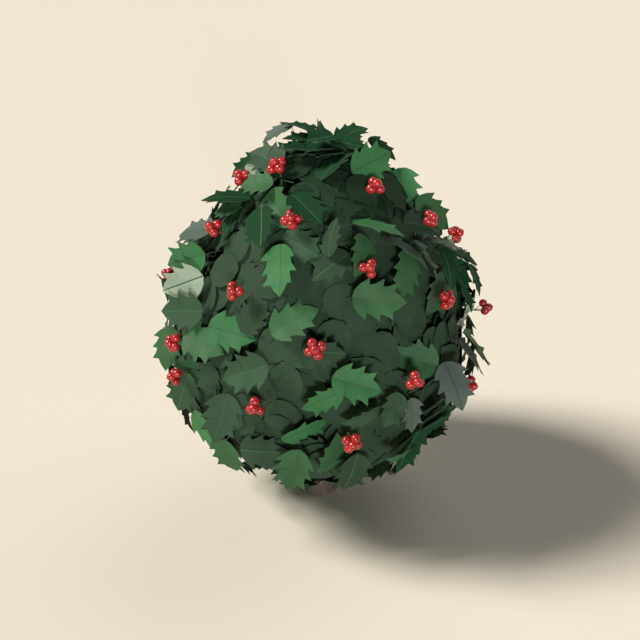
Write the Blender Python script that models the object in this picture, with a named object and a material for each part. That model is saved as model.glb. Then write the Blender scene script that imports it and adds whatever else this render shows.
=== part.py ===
"""Young holly tree, rooted in the ground.

One stem with a root flare runs up through an egg-shaped crown. Boughs leave it in three tiers, and
each carries one mass of foliage: a dense core, the twigs that grow out of it, spiny leaves and
clusters of berries. Metres, +Z up, with the origin in the middle of the flat cut under the trunk.
"""

import math
import random
from typing import NamedTuple

import bmesh
import bpy
from mathutils import Matrix, Vector
from mathutils.bvhtree import BVHTree

# Driving sizes
TREE_HEIGHT = 1.20
CROWN_WIDTH = 1.00
CLEAR_STEM = 0.135
LEAF_LAYER = 0.07
TRUNK_RADIUS = 0.047
LEAF_LENGTH = 0.130
BERRY_RADIUS = 0.0125

# Crown: an egg, a little narrower above its middle and wider below it
CORE_RADIUS = CROWN_WIDTH / 2 - LEAF_LAYER
CORE_TOP = TREE_HEIGHT - LEAF_LAYER
CORE_HEIGHT = CORE_TOP - CLEAR_STEM
CORE_MIDDLE = (CORE_TOP + CLEAR_STEM) / 2
CROWN_TAPER = 0.25
CORE_ROUNDS = 2
SPACE_GAP = 0.004
SEAT_GAP = 0.0003

# Trunk
TRUNK_TOP = 0.75 * TREE_HEIGHT
TRUNK_TIP_RADIUS = 0.011
TRUNK_TAPER_POWER = 1.15
ROOT_FLARE = 0.008
FLARE_HEIGHT = 0.03
STRAIGHT_FOOT = 0.06
TRUNK_SWAY = 0.007
TRUNK_STATIONS = 12
STATION_POWER = 1.6
TRUNK_SIDES_STEP = 4

# Boughs and the stems that carry on from them
BOUGH_STATIONS = 6
BOUGH_SIDES_STEP = 1
BOUGH_TIP_SHARE = 0.6
BOUGH_KNEE = 0.45
STEM_STICKS_OUT = 0.014
STEM_END_SHARE = 0.7
STEM_SIDES = 6

# Twigs, leaves and berries
TWIG_TRIES = 3000
TWIG_SPACING = 0.15
TWIG_WALL_MARGIN = 0.034
TWIG_REACH = 0.040
TWIG_RADII = (0.0075, 0.0035)
TWIG_SIDES = 3
TWIG_ROOTS = (0.75, 1)
LEAVES_ON_TWIG = 4
LEAF_TRIES = 40
LEAF_THICKNESS = 0.032
LEAF_SINKS_IN = 0.001
LEAF_SHRINKS = 0.25
LEAF_DEPTHS = (0.08, 0.80)
LEAF_RISE_DEG = (0, 36)
LEAF_TILT_DEG = 38
LEAF_TURN_SPREAD = 0.4
LEAF_SIZES = (0.94, 1.06)
FRUIT_EVERY = 3
BERRIES_IN_CLUSTER = 3
LIMB_CLEARANCE = 0.002
GOLDEN_ANGLE = math.pi * (3 - math.sqrt(5))
SMALL_ANGLE = 0.01
SAME_POINT = 1e-6
SHARP_ANGLE = math.radians(60)
UP = Vector((0, 0, 1))

# Half a leaf's edge from base to tip: share of the length, half width, lift, in leaf lengths
LEAF_EDGE = (
    (0.22, 0.35, 0.02),
    (0.45, 0.18, -0.03),
    (0.72, 0.37, 0.03),
)
LEAF_ARCH = 0.05


class Tier(NamedTuple):
    """A ring of masses and the boughs that carry them. Lengths are shares, angles degrees."""

    name: str
    count: int
    turn: float
    height: float  # of the mass centres, up the core
    spread: float  # of the mass centres from the axis, in core radii
    hollow: float  # of the masses' inner faces from the axis, in core radii
    fork: float  # where the first bough leaves, up the trunk
    fork_step: float  # how much further up each next bough leaves
    rise: float  # of the bough's last stretch above the level
    bough_radius: float  # at the trunk, in metres


TIERS = (
    Tier("low", 6, 0, 0.20, 0.63, 0.35, 0.17, 0.013, 20, 0.0165),
    Tier("middle", 6, 30, 0.49, 0.70, 0.40, 0.38, 0.020, 30, 0.0145),
    Tier("high", 5, 12, 0.775, 0.47, 0.24, 0.68, 0.020, 40, 0.0100),
)
TOP_MASS_HEIGHT = 0.94
TOP_MASS_FLOOR = 0.80
LEAF_SLOT, BARK_SLOT, BERRY_SLOT = range(3)


class Wall(NamedTuple):
    """A flat limit of a mass's space, with its normal pointing out of it."""

    point: Vector
    normal: Vector


class Mass:
    """One mass of foliage: its heart, its space, and how its stem comes in."""

    def __init__(self, name, heart, inner_wall, approach, stem_radius):
        self.name = name
        self.heart = heart
        self.inner_wall = inner_wall
        self.approach = approach
        self.stem_radius = stem_radius
        self.walls = [inner_wall]
        room = (heart - inner_wall.point).dot(-inner_wall.normal)
        depth = room / approach.dot(-inner_wall.normal)
        self.stem_foot = heart - approach * (depth + STEM_STICKS_OUT)

    def meet(self, other):
        """Puts a wall half way to another mass."""
        apart = other.heart - self.heart
        self.walls.append(Wall((self.heart + other.heart) / 2, apart.normalized()))


def outward(azimuth):
    return Vector((math.cos(azimuth), math.sin(azimuth), 0))


def egg_radius(sine, swell):
    """The egg's radius where the sine of the latitude is this, swell metres outside the core."""
    return (CORE_RADIUS + swell) * math.sqrt(1 - sine * sine) * (1 - CROWN_TAPER * sine)


def egg_point(azimuth, latitude, swell=0.0):
    sine = math.sin(latitude)
    height = CORE_MIDDLE + (CORE_HEIGHT / 2 + swell) * sine
    return outward(azimuth) * egg_radius(sine, swell) + UP * height


def angles_on_egg(point):
    """The azimuth and latitude of the spot on the egg that is nearly nearest to a point."""
    stretch = CORE_HEIGHT / 2 / CORE_RADIUS
    ray = Vector((point.x, point.y, (point.z - CORE_MIDDLE) / stretch))
    return math.atan2(ray.y, ray.x), math.asin(ray.normalized().z)


def egg_way_out(point):
    """The way out of the egg there, from two points of it a little apart."""
    azimuth, latitude = angles_on_egg(point)
    below = egg_point(azimuth, latitude - SMALL_ANGLE)
    along = egg_point(azimuth, latitude + SMALL_ANGLE) - below
    return outward(azimuth + math.pi / 2).cross(along).normalized()


def in_egg(point, swell):
    sine = (point.z - CORE_MIDDLE) / (CORE_HEIGHT / 2 + swell)
    return abs(sine) < 1 and math.hypot(point.x, point.y) < egg_radius(sine, swell)


def in_space(mass, points, margin=SPACE_GAP / 2):
    """True where all the points keep to the mass's own space and to the crown's reach."""
    return all(
        in_egg(point, LEAF_LAYER)
        and all((point - wall.point).dot(wall.normal) < -margin for wall in mass.walls)
        for point in points
    )


def turned_frame(origin, along, facing, scale=1.0):
    """A placement whose X runs along, and whose Z faces as nearly as it can the given way."""
    across = facing.cross(along).normalized()
    up = along.cross(across).normalized()
    turn = Matrix((along.normalized(), across, up)).transposed().to_4x4()
    return Matrix.Translation(origin) @ turn @ Matrix.Scale(scale, 4)


def make_material(name, colour, roughness):
    material = bpy.data.materials.new(name)
    material.use_nodes = True
    material.diffuse_color = (*colour, 1)
    shader = material.node_tree.nodes["Principled BSDF"]
    shader.inputs["Base Color"].default_value = (*colour, 1)
    shader.inputs["Roughness"].default_value = roughness
    shader.inputs["Metallic"].default_value = 0.0
    return material


def make_materials():
    """Leaf, bark and berry, always in this order in a mesh's slots."""
    return (
        make_material("holly_leaf", (0.050, 0.150, 0.060), 0.35),
        make_material("holly_bark", (0.130, 0.095, 0.075), 0.85),
        make_material("holly_berry", (0.620, 0.020, 0.022), 0.25),
    )


def mesh_from(bm, name, materials, slot):
    """Closes a bmesh into a mesh that has every material and uses one of them."""
    bmesh.ops.recalc_face_normals(bm, faces=bm.faces)
    for face in bm.faces:
        face.material_index = slot
    mesh = bpy.data.meshes.new(name)
    bm.to_mesh(mesh)
    bm.free()
    for material in materials:
        mesh.materials.append(material)
    return mesh


def placed(name, mesh, collection, matrix=None):
    obj = bpy.data.objects.new(name, mesh)
    obj.matrix_world = matrix or Matrix.Identity(4)
    collection.objects.link(obj)
    return obj


def limb_mesh(name, points, radii, sides_step, materials):
    """A closed tapering tube along the points, made as a curve and then turned into a mesh."""
    curve = bpy.data.curves.new(name, "CURVE")
    curve.dimensions = "3D"
    curve.bevel_depth = 1.0
    curve.bevel_resolution = sides_step
    curve.use_fill_caps = True
    spline = curve.splines.new("POLY")
    spline.points.add(len(points) - 1)
    for knot, point, radius in zip(spline.points, points, radii):
        knot.co = (*point, 1)
        knot.radius = radius
    guide = placed(name + "_guide", curve, bpy.context.scene.collection)
    bpy.context.view_layer.update()
    graph = bpy.context.evaluated_depsgraph_get()
    mesh = bpy.data.meshes.new_from_object(guide.evaluated_get(graph))
    bpy.data.objects.remove(guide)
    bm = bmesh.new()
    bm.from_mesh(mesh)
    bmesh.ops.remove_doubles(bm, verts=bm.verts, dist=SAME_POINT)
    bpy.data.meshes.remove(mesh)
    mesh = mesh_from(bm, name, materials, BARK_SLOT)
    mesh.shade_smooth()
    mesh.set_sharp_from_angle(angle=SHARP_ANGLE)
    return mesh


def trunk_axis(height):
    """The trunk's middle at a height: plumb at the foot, then a slight sway."""
    share = max(0.0, height - STRAIGHT_FOOT) / (TRUNK_TOP - STRAIGHT_FOOT)
    sway = TRUNK_SWAY * math.sin(2 * math.pi * share)
    lean = TRUNK_SWAY * math.sin(math.pi * share) ** 2
    return Vector((sway, lean, height))


def trunk_radius(height):
    share = height / TRUNK_TOP
    taper = TRUNK_RADIUS + (TRUNK_TIP_RADIUS - TRUNK_RADIUS) * share**TRUNK_TAPER_POWER
    return taper + ROOT_FLARE * math.exp(-height / FLARE_HEIGHT)


def trunk_heights():
    """Stations from the ground up, close together in the flare."""
    shares = [number / TRUNK_STATIONS for number in range(TRUNK_STATIONS + 1)]
    return [TRUNK_TOP * share**STATION_POWER for share in shares]


def trunk_mesh(name, materials, extra=0.0):
    heights = trunk_heights()
    points = [trunk_axis(height) for height in heights]
    radii = [trunk_radius(height) + extra for height in heights]
    return limb_mesh(name, points, radii, TRUNK_SIDES_STEP, materials)


def bough_path(mass, fork_height):
    """A limb that leaves the trunk's middle and comes in on the line of its mass's stem."""
    start = trunk_axis(fork_height)
    end = mass.stem_foot - mass.approach * SEAT_GAP
    knee = end - mass.approach * (end - start).length * BOUGH_KNEE
    steps = [number / (BOUGH_STATIONS - 1) for number in range(BOUGH_STATIONS)]
    curve = [start * (1 - t) ** 2 + knee * 2 * t * (1 - t) + end * t * t for t in steps]
    last_straight = end - mass.approach * (end - curve[-2]).length
    return [*curve[:-2], last_straight, end]


def add_bough(name, mass, fork_height, radius, tree, cutter, materials):
    """One bough, cut to sit against the trunk."""
    points = bough_path(mass, fork_height)
    thinner = (1 - BOUGH_TIP_SHARE) / (len(points) - 1)
    radii = [radius * (1 - thinner * number) for number in range(len(points))]
    mesh = limb_mesh(name, points, radii, BOUGH_SIDES_STEP, materials)
    bough = placed(name, mesh, tree)
    cut = bough.modifiers.new("Seat against the trunk", "BOOLEAN")
    cut.operation = "DIFFERENCE"
    cut.object = cutter
    apply_modifiers(bough)
    return bough


def apply_modifiers(obj):
    """Turns what the modifiers make into the object's own mesh."""
    bpy.context.view_layer.update()
    graph = bpy.context.evaluated_depsgraph_get()
    mesh = bpy.data.meshes.new_from_object(obj.evaluated_get(graph))
    mesh.name = obj.name
    obj.modifiers.clear()
    obj.data = mesh


def planned_masses():
    """Every mass with its space, tier by tier, and the top one last."""
    masses = []
    for tier in TIERS:
        for number in range(tier.count):
            azimuth = math.radians(tier.turn) + number * 2 * math.pi / tier.count
            way_out = outward(azimuth)
            rise = math.radians(tier.rise)
            heart = way_out * tier.spread * CORE_RADIUS
            heart += UP * (CLEAR_STEM + tier.height * CORE_HEIGHT)
            inner = Wall(way_out * tier.hollow * CORE_RADIUS, -way_out)
            approach = way_out * math.cos(rise) + UP * math.sin(rise)
            radius = tier.bough_radius * BOUGH_TIP_SHARE
            name = f"foliage_{tier.name}_{number + 1}"
            masses.append(Mass(name, heart, inner, approach, radius))
    masses.append(top_mass())
    for mass in masses:
        for other in masses:
            if other is not mass:
                mass.meet(other)
    return masses


def top_mass():
    """The mass on the leader, whose stem stands on the trunk's tip."""
    tip = trunk_axis(TRUNK_TOP)
    approach = (tip - trunk_axis(trunk_heights()[-2])).normalized()
    floor = UP * (CLEAR_STEM + TOP_MASS_FLOOR * CORE_HEIGHT)
    rest = CLEAR_STEM + TOP_MASS_HEIGHT * CORE_HEIGHT - tip.z
    heart = tip + approach * (rest / approach.z)
    mass = Mass("foliage_top", heart, Wall(floor, -UP), approach, TRUNK_TIP_RADIUS)
    mass.stem_foot = tip + approach * SEAT_GAP
    return mass


def core_mesh(mass, materials):
    """The mass's share of the egg: the whole egg, cut off flat at each wall of its space."""
    bm = bmesh.new()
    bmesh.ops.create_icosphere(bm, subdivisions=CORE_ROUNDS, radius=1)
    for vert in bm.verts:
        azimuth = math.atan2(vert.co.y, vert.co.x)
        vert.co = egg_point(azimuth, math.asin(max(-1, min(1, vert.co.z))))
    for wall in mass.walls:
        everything = [*bm.verts, *bm.edges, *bm.faces]
        bmesh.ops.bisect_plane(
            bm,
            geom=everything,
            dist=SAME_POINT,
            plane_co=wall.point - wall.normal * SPACE_GAP / 2,
            plane_no=wall.normal,
            clear_outer=True,
        )
        rim = [edge for edge in bm.edges if edge.is_boundary]
        if rim:
            bmesh.ops.edgeloop_fill(bm, edges=rim)
    return mesh_from(bm, mass.name, materials, LEAF_SLOT)


def leaf_mesh(materials):
    """One leaf of length 1 along +X: a flat rosette of spines between an upper and a lower point."""
    edge = [(0, 0, -LEAF_ARCH), *LEAF_EDGE, (1, 0, -LEAF_ARCH)]
    far_side = [(x, -y, z) for x, y, z in reversed(LEAF_EDGE)]
    outline = [*edge, *far_side]
    bm = bmesh.new()
    bmesh.ops.create_uvsphere(bm, u_segments=len(outline), v_segments=2, radius=1)
    for vert in bm.verts:
        if abs(vert.co.z) > 0.5:
            half = math.copysign(LEAF_THICKNESS / 2, vert.co.z)
            vert.co = (0.5, 0, LEAF_ARCH + half)
        else:
            share = math.atan2(-vert.co.y, -vert.co.x) / (2 * math.pi)
            vert.co = outline[round(-share * len(outline)) % len(outline)]
    return mesh_from(bm, "leaf", materials, LEAF_SLOT)


def berry_mesh(materials):
    bm = bmesh.new()
    bmesh.ops.create_icosphere(bm, subdivisions=1, radius=BERRY_RADIUS)
    return mesh_from(bm, "berry", materials, BERRY_SLOT)


def stick_mesh(start, end, radii, sides, materials):
    """A straight tapering piece of wood from start to end."""
    bm = bmesh.new()
    turn = (end - start).to_track_quat("Z", "Y").to_matrix().to_4x4()
    bmesh.ops.create_cone(
        bm,
        cap_ends=True,
        segments=sides,
        radius1=radii[0],
        radius2=radii[1],
        depth=(end - start).length,
        matrix=Matrix.Translation((start + end) / 2) @ turn,
    )
    return mesh_from(bm, "stick", materials, BARK_SLOT)


def grow_twigs(mass, rng):
    """Root on the stem and tip of each twig: the tips spread at random, but never close."""
    twigs = []
    for _ in range(TWIG_TRIES):
        azimuth, sine = rng.uniform(-math.pi, math.pi), rng.uniform(-1, 1)
        tip = egg_point(azimuth, math.asin(sine), TWIG_REACH)
        if not in_space(mass, [tip], TWIG_WALL_MARGIN):
            continue
        if all((tip - other).length > TWIG_SPACING for _, other in twigs):
            root = mass.stem_foot.lerp(mass.heart, rng.uniform(*TWIG_ROOTS))
            twigs.append((root, tip))
    return twigs


def leaf_place(mass, twig, number, template, limbs, taken, rng):
    """Where a twig's next leaf goes: it turns round the twig until it fits, or is left out."""
    root, tip = twig
    out = egg_way_out(tip)
    side = out.orthogonal().normalized()
    for attempt in range(LEAF_TRIES):
        depth = TWIG_REACH * rng.uniform(*LEAF_DEPTHS)
        spot = tip.lerp(root, depth / (tip - root).length)
        stray = rng.uniform(-LEAF_TURN_SPREAD, LEAF_TURN_SPREAD)
        turn = (number + stray) * 2 * math.pi / LEAVES_ON_TWIG
        rise = math.radians(rng.uniform(*LEAF_RISE_DEG))
        tilt = math.radians(rng.uniform(-LEAF_TILT_DEG, LEAF_TILT_DEG))
        level = Matrix.Rotation(turn + attempt * GOLDEN_ANGLE, 3, out) @ side
        growth = level * math.cos(rise) + out * math.sin(rise)
        facing = Matrix.Rotation(tilt, 3, growth) @ out
        size = rng.uniform(*LEAF_SIZES) - LEAF_SHRINKS * attempt / LEAF_TRIES
        matrix = turned_frame(spot - growth * LEAF_SINKS_IN, growth, facing, LEAF_LENGTH * size)
        points = [matrix @ vert.co for vert in template.vertices]
        if not in_space(mass, points) or not clear_of(limbs, points):
            continue
        surface = surface_of(template, matrix)
        if not any(surface.overlap(other) for other in taken):
            taken.append(surface)
            return matrix
    return None


def surface_of(mesh, matrix=None):
    """The mesh's placed surface, ready to ask what it crosses or how near a point comes."""
    corners = [matrix @ vert.co if matrix else vert.co for vert in mesh.vertices]
    return BVHTree.FromPolygons(corners, [tuple(face.vertices) for face in mesh.polygons])


def clear_of(limbs, points):
    """True where no point comes near a trunk or bough."""
    return all(
        limb.find_nearest(point, LIMB_CLEARANCE)[0] is None for limb in limbs for point in points
    )


def berry_places(twig, rng):
    """A cluster of berries that touch one another round a twig's tip."""
    root, tip = twig
    along = (tip - root).normalized()
    side = along.orthogonal().normalized()
    start = rng.uniform(0, 2 * math.pi)
    for number in range(BERRIES_IN_CLUSTER):
        turn = start + number * 2 * math.pi / BERRIES_IN_CLUSTER
        offset = Matrix.Rotation(turn, 3, along) @ side * BERRY_RADIUS
        spin = Matrix.Rotation(rng.uniform(0, 2 * math.pi), 4, "Z")
        yield Matrix.Translation(tip + offset) @ spin


def keep_main_body(mesh):
    """Drops loose scraps, and the walls of any hollow that fusing sealed, which fills it."""
    bm = bmesh.new()
    bm.from_mesh(mesh)
    bodies, seen = [], set()
    for start in bm.faces:
        if start in seen:
            continue
        body, edge_of_body = [], [start]
        seen.add(start)
        while edge_of_body:
            face = edge_of_body.pop()
            body.append(face)
            near = {other for edge in face.edges for other in edge.link_faces} - seen
            seen |= near
            edge_of_body.extend(near)
        bodies.append(body)
    largest = max(bodies, key=lambda body: sum(face.calc_area() for face in body))
    scraps = [face for body in bodies if body is not largest for face in body]
    bmesh.ops.delete(bm, geom=scraps, context="FACES")
    bmesh.ops.triangulate(bm, faces=bm.faces)
    bm.to_mesh(mesh)
    bm.free()


def add_mass(mass, templates, limbs, tree, materials):
    """One mass: its core with the stem, the twigs, the berries and the leaves fused to it."""
    leaf, berry = templates
    rng = random.Random(mass.name)
    pieces = bpy.data.collections.new(mass.name + "_pieces")
    bpy.context.scene.collection.children.link(pieces)
    stem_radii = (mass.stem_radius, mass.stem_radius * STEM_END_SHARE)
    stem = stick_mesh(mass.stem_foot, mass.heart, stem_radii, STEM_SIDES, materials)
    placed("stem", stem, pieces)
    twigs, taken = grow_twigs(mass, rng), []
    for number, twig in enumerate(twigs):
        placed("twig", stick_mesh(*twig, TWIG_RADII, TWIG_SIDES, materials), pieces)
        if number % FRUIT_EVERY == 0:
            for matrix in berry_places(twig, rng):
                placed("berry", berry, pieces, matrix)
                taken.append(surface_of(berry, matrix))
    for number in range(LEAVES_ON_TWIG):
        for twig in twigs:
            matrix = leaf_place(mass, twig, number, leaf, limbs, taken, rng)
            if matrix:
                placed("leaf", leaf, pieces, matrix)
    foliage = placed(mass.name, core_mesh(mass, materials), tree)
    fuse = foliage.modifiers.new("Fuse", "BOOLEAN")
    fuse.operation = "UNION"
    fuse.solver = "MANIFOLD"
    fuse.operand_type = "COLLECTION"
    fuse.collection = pieces
    apply_modifiers(foliage)
    keep_main_body(foliage.data)
    for piece in list(pieces.objects):
        bpy.data.objects.remove(piece)
    bpy.data.collections.remove(pieces)
    return foliage


def clear_scene():
    for obj in list(bpy.data.objects):
        bpy.data.objects.remove(obj)


def new_collection(name):
    collection = bpy.data.collections.new(name)
    bpy.context.scene.collection.children.link(collection)
    return collection


def build_tree():
    clear_scene()
    tree, cutters = new_collection("holly_tree"), new_collection("cutters")
    materials = make_materials()
    trunk = placed("trunk", trunk_mesh("trunk", materials), tree)
    cutter = placed("trunk_seat", trunk_mesh("trunk_seat", materials, SEAT_GAP), cutters)
    cutter.hide_render = True
    cutter.display_type = "WIRE"
    masses = planned_masses()
    limbs = [trunk]
    waiting = iter(masses)
    for tier in TIERS:
        for number in range(tier.count):
            fork = TRUNK_TOP * (tier.fork + tier.fork_step * (number * 2 % tier.count))
            name = f"bough_{tier.name}_{number + 1}"
            bough = add_bough(
                name, next(waiting), fork, tier.bough_radius, tree, cutter, materials
            )
            limbs.append(bough)
    limb_surfaces = [surface_of(limb.data) for limb in limbs]
    templates = leaf_mesh(materials), berry_mesh(materials)
    for mass in masses:
        add_mass(mass, templates, limb_surfaces, tree, materials)


if __name__ == "__main__":
    build_tree()
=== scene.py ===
"""Holly tree: barked trunk and boughs, twigs, spiny leaves and clusters of berries.

The tree is an egg-shaped crown on a short stem. The boughs leave the trunk in three tiers, each
carries one mass of foliage, and the twigs, shoots and leaves grow on from there. Metres, +Z up,
with the origin in the middle of the cut under the trunk.
"""

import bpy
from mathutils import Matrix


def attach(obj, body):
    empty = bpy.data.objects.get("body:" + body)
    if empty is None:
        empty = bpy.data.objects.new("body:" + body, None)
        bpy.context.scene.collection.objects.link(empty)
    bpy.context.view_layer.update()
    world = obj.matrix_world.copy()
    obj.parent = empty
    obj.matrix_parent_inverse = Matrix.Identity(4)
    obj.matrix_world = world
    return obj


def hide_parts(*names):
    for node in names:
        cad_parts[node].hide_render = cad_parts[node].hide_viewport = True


bl_info = {
    "name": "Holly Tree",
    "version": (1, 0, 0),
    "blender": (4, 5, 0),
    "location": "3D View > Sidebar > Holly",
    "description": "Grows a small holly tree with bark, twigs, spiny leaves and berries",
    "category": "Add Mesh",
}

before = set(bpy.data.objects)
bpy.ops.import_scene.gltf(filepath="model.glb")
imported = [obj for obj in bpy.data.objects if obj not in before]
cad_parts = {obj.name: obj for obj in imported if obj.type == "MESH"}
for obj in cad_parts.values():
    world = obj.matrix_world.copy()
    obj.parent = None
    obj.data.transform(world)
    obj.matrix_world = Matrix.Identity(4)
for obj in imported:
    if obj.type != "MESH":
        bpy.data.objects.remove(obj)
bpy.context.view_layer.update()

import contextlib
import functools
import math
import random
from typing import NamedTuple

import bmesh
import bpy
import numpy as np
from bpy.props import FloatProperty, FloatVectorProperty, IntProperty, PointerProperty
from mathutils import Matrix, Vector, noise
from mathutils.bvhtree import BVHTree

BODY = "root"
UP = Vector((0, 0, 1))
GOLDEN_ANGLE = math.pi * (3 - math.sqrt(5))
IMAGE_SIDE = 640
SAME_POINT = 1e-6


# Sizes and colours


def setting(kind, **rest):
    """Makes settings of one kind for the panel, each from its name, description and default."""

    def made(name, description, default):
        return kind(name=name, description=description, default=default, **rest)

    return made


length = setting(FloatProperty, min=0, subtype="DISTANCE", unit="LENGTH")
colour = setting(FloatVectorProperty, size=3, min=0, max=1, subtype="COLOR")
share = setting(FloatProperty, min=0, max=1, subtype="FACTOR")
angle = setting(FloatProperty, subtype="ANGLE")
millimetres = setting(FloatProperty, min=1, unit="CAMERA")
whole = setting(IntProperty, min=0)


class CrownSizes(bpy.types.PropertyGroup):
    """The egg that the foliage fills."""

    height: length("Tree height", "From the ground to the topmost leaf", 1.20)
    width: length("Crown width", "Across the widest leaves", 1.00)
    clear_stem: length("Clear stem", "From the ground to the dense foliage", 0.135)
    leaf_layer: length("Leaf layer", "How far leaves stand out of the dense foliage", 0.07)
    taper: share("Taper", "How much narrower the crown is above its middle", 0.25)


class WoodSizes(bpy.types.PropertyGroup):
    """The trunk, the boughs and their bark."""

    trunk_radius: length("Trunk radius", "Above the root flare", 0.047)
    tip_radius: length("Leader radius", "At the trunk's tip", 0.011)
    root_flare: length("Root flare", "How much wider the trunk is at the ground", 0.008)
    relief: length("Bark relief", "Depth of the bark's furrows", 0.0012)
    bark: colour("Bark", "Weathered bark", (0.092, 0.070, 0.049))
    bark_light: colour("Bark, light", "Raised and dusty bark", (0.156, 0.124, 0.092))
    bark_dark: colour("Bark, dark", "Furrows", (0.036, 0.024, 0.018))
    twig: colour("Twig", "Young green-brown shoots", (0.0480, 0.0600, 0.0240))


class LeafSizes(bpy.types.PropertyGroup):
    """The leaves, their sizes and their colours."""

    outer_length: length("Outer leaf", "Length of a leaf that stands out of the crown", 0.125)
    middle_length: length("Middle leaf", "Length of a leaf in the closed layer", 0.118)
    inner_length: length("Inner leaf", "Length of a leaf deep inside", 0.100)
    bright: colour("Bright", "Leaves of the last flush", (0.0360, 0.1392, 0.0476))
    fresh: colour("Fresh", "Most leaves", (0.0319, 0.0957, 0.0371))
    dull: colour("Dull", "Older leaves", (0.0290, 0.0650, 0.0325))
    grey: colour("Grey-green", "Weathered leaves", (0.0880, 0.1150, 0.0960))
    # Pale is a painted sheen: a lightened leaf colour that stands in for light glancing off the
    # blade
    pale: colour("Pale", "Leaves with a bleached bloom", (0.2436, 0.3016, 0.2262))
    dark: colour("Dark", "Old leaves in the shade", (0.0098, 0.0430, 0.0170))
    shade: colour("Shade", "The closed layer behind them", (0.0286, 0.0533, 0.0312))
    # Deep is painted shade: darker than shade, for the leaves inside the crown and the closed layer
    # on top
    deep: colour("Deep", "Leaves inside the crown", (0.0150, 0.0335, 0.0170))
    underside: colour("Underside", "Paler, matt underside", (0.0406, 0.0725, 0.0406))
    rib: colour("Midrib", "The paler line along a leaf", (0.0335, 0.0860, 0.0335))


class BerrySizes(bpy.types.PropertyGroup):
    """The berries and how many clusters the far side has."""

    radius: length("Berry radius", "Of one berry", 0.0125)
    far_clusters: whole("Far clusters", "Clusters round the back", 19)
    red: colour("Berry", "Ripe berry", (0.3570, 0.0112, 0.0143))
    stalk: colour("Stalk", "Berry stalks", (0.0840, 0.0980, 0.0280))


class ViewSizes(bpy.types.PropertyGroup):
    """Where the camera stands, and the studio round the tree."""

    lens: millimetres("Lens", "Focal length", 50)
    sensor: millimetres("Sensor", "Sensor width", 36)
    distance: length("Distance", "From the middle of the crown", 2.688)
    look_height: length("Look height", "Height that the camera looks at", 0.595)
    elevation: angle("Elevation", "Of the camera above the level", math.radians(24))
    floor: colour("Floor", "Floor and backdrop", (0.736, 0.681, 0.580))


# The crown's shape, as in the solids


# The share of the tree's height that the trunk reaches
TRUNK_SHARE = 0.75


class Crown:
    """The egg and its measures, worked out from the sizes."""

    def __init__(self, sizes):
        self.layer = sizes.leaf_layer
        self.radius = sizes.width / 2 - sizes.leaf_layer
        self.bottom = sizes.clear_stem
        self.top = sizes.height - sizes.leaf_layer
        self.depth = self.top - self.bottom
        self.middle = (self.top + self.bottom) / 2
        self.taper = sizes.taper
        self.trunk_top = TRUNK_SHARE * sizes.height

    def across(self, sine, swell):
        """The egg's radius where the sine of the latitude is this."""
        shape = math.sqrt(max(0.0, 1 - sine * sine)) * (1 - self.taper * sine)
        return (self.radius + swell) * shape

    def point(self, azimuth, latitude, swell=0.0):
        sine = math.sin(latitude)
        height = self.middle + (self.depth / 2 + swell) * sine
        return outward(azimuth) * self.across(sine, swell) + UP * height

    def angles(self, point):
        """The azimuth and latitude of the spot on the egg that is nearly nearest to a point."""
        ray = Vector((point.x, point.y, (point.z - self.middle) * 2 * self.radius / self.depth))
        return math.atan2(ray.y, ray.x), math.asin(ray.normalized().z)

    def way_out(self, point):
        azimuth, latitude = self.angles(point)
        step = 0.01
        along = self.point(azimuth, latitude + step) - self.point(azimuth, latitude - step)
        return outward(azimuth + math.pi / 2).cross(along).normalized()

    def reaches(self, point, swell):
        sine = (point.z - self.middle) / (self.depth / 2 + swell)
        return abs(sine) < 1 and math.hypot(point.x, point.y) < self.across(sine, swell)


def outward(azimuth):
    return Vector((math.cos(azimuth), math.sin(azimuth), 0))


class Tier(NamedTuple):
    """A ring of masses and the boughs that carry them.

    Heights, reaches and forks are shares, angles are degrees, and the radius is in metres.
    """

    name: str
    count: int
    turn: float
    height: float
    spread: float
    hollow: float
    fork: float
    fork_step: float
    rise: float
    bough_radius: float


TIERS = (
    Tier("low", 6, 0, 0.20, 0.63, 0.35, 0.17, 0.013, 20, 0.0165),
    Tier("middle", 6, 30, 0.49, 0.70, 0.40, 0.38, 0.020, 30, 0.0145),
    Tier("high", 5, 12, 0.775, 0.47, 0.24, 0.68, 0.020, 40, 0.0100),
)
TOP_MASS_HEIGHT = 0.94
BOUGH_STEPS = 22
BOUGH_TIP_SHARE = 0.6
BOUGH_KNEE = 0.45
# How much thicker a bough is where it leaves the trunk, and over how many steps that fades
COLLAR_SHARE, COLLAR_STEPS = 0.55, 3.0
STEM_STICKS_OUT = 0.014
STEM_TIP_RADIUS = 0.004
TWIG_TRIES = 3000
# How deep under the egg's surface the twigs end, and how far apart their tips are
TWIG_TIP_DEPTH, DEEPEST_TIP = 0.012, 0.035
TWIG_TIPS_APART, SIDE_TWIG_TIPS_APART = 0.15, 0.082
# Radii from the root to the tip
TWIG_RADII = (0.0052, 0.0022)
SIDE_TWIG_RADII = (0.0028, 0.0015)
SHOOT_RADII = (0.0017, 0.0011)
CLUSTER_STEM_RADII = (0.0020, 0.0015)
BERRY_STALK_RADII = (0.0013, 0.001, 0.0009)


class Limb(NamedTuple):
    """A piece of wood: its middle line, its radii and, for a bough, its node's name."""

    points: list
    radii: tuple
    name: str = ""


class Leaf(NamedTuple):
    """One leaf: where its blade starts, which way it grows and faces, its length and its kind."""

    base: Vector
    along: Vector
    facing: Vector
    length: float
    kind: int
    colour: str


def trunk_axis(crown, height):
    """The trunk's middle at a height: plumb at the foot, then a slight sway."""
    foot, sway = 0.06, 0.007
    share_up = max(0.0, height - foot) / (crown.trunk_top - foot)
    across = sway * math.sin(2 * math.pi * share_up)
    lean = sway * math.sin(math.pi * share_up) ** 2
    return Vector((across, lean, height))


def trunk_radius(crown, wood, height):
    slimming, flare_height = 1.15, 0.03
    share_up = height / crown.trunk_top
    taper = wood.trunk_radius + (wood.tip_radius - wood.trunk_radius) * share_up**slimming
    return taper + wood.root_flare * math.exp(-height / flare_height)


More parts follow.
